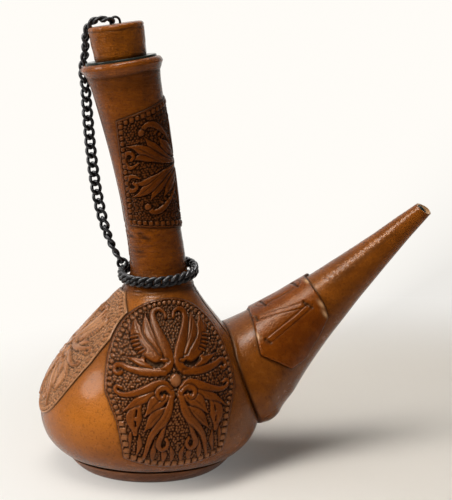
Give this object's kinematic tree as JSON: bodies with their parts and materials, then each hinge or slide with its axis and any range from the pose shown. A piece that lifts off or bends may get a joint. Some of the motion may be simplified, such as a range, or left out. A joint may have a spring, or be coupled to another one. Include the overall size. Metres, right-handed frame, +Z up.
{
  "type": "leather-clad porron",
  "caption": "Glass drinking vessel with a tilted neck and a long conical pouring spout, clad in tooled leather, with a corked stopper tethered by a curb chain to a chain collar.",
  "frame": {"origin": "on the floor, in the middle of the sole's flat face, under the axis of the belly", "axes": "+Z up, +X towards the spout, -Y towards the side that the picture shows"},
  "size_m": [0.2561, 0.1408, 0.2785],
  "materials": {
    "glass": "gloss",
    "leather": "polished, moulded over the glass",
    "tooled_leather": "tooled and stained, polished on the high parts",
    "sole_leather": "dark, satin",
    "strap_leather": "satin, with worn edges",
    "cork": "bare cork",
    "black_steel": "blackened steel, satin"
  },
  "bodies": {
    "vessel": {"glass_base": "glass", "glass_shoulder": "glass", "glass_neck": "glass", "glass_spout": "glass", "front_body_leather": "leather", "rear_body_leather": "leather", "spout_gusset": "leather", "neck_sleeve": "leather", "spout_cover": "leather", "base_sole": "sole_leather", "front_medallion": "tooled_leather", "rear_medallion": "tooled_leather", "back_medallion": "tooled_leather", "neck_panel": "tooled_leather", "spout_band": "strap_leather", "spout_thong_1": "strap_leather", "spout_thong_2": "strap_leather", "spout_thong_3": "strap_leather"},
    "stopper": {"stopper_cork": "cork", "stopper_wrap": "leather", "stopper_top": "leather", "stopper_eye": "black_steel", "chain_link_01": "black_steel", "chain_link_02": "black_steel", "chain_link_03": "black_steel", "chain_link_04": "black_steel", "chain_link_05": "black_steel", "chain_link_06": "black_steel", "chain_link_07": "black_steel", "chain_link_08": "black_steel"},
    "tether": {"chain_link_09": "black_steel", "chain_link_10": "black_steel", "chain_link_11": "black_steel", "chain_link_12": "black_steel", "chain_link_13": "black_steel", "chain_link_14": "black_steel", "chain_link_15": "black_steel", "chain_link_16": "black_steel", "chain_link_17": "black_steel", "chain_link_18": "black_steel", "chain_link_19": "black_steel", "chain_link_20": "black_steel", "chain_link_21": "black_steel", "chain_link_22": "black_steel", "chain_link_23": "black_steel", "chain_link_24": "black_steel", "chain_link_25": "black_steel", "chain_link_26": "black_steel", "chain_link_27": "black_steel", "chain_link_28": "black_steel", "chain_link_29": "black_steel", "junction_ring": "black_steel"},
    "collar": {"neck_chain": "black_steel"}
  },
  "joints": [
    {"name": "stopper_lift", "type": "slide", "parent": "vessel", "child": "stopper", "axis": [-0.1582, 0, 0.9874], "range_m": [0, 0.03]},
    {"name": "collar_rise", "type": "slide", "parent": "vessel", "child": "collar", "axis": [-0.1582, 0, 0.9874], "range_m": [0, 0.03]},
    {"name": "tether_swing", "type": "hinge", "parent": "stopper", "child": "tether", "pos_m": [-0.03945, 0.0176, 0.24473], "axis": [0.1934, -0.0512, -0.9798], "range_deg": [-20, 20]}
  ],
  "couplings": [
    {"joint": "collar_rise", "follows": "stopper_lift", "ratio": 1}
  ]
}
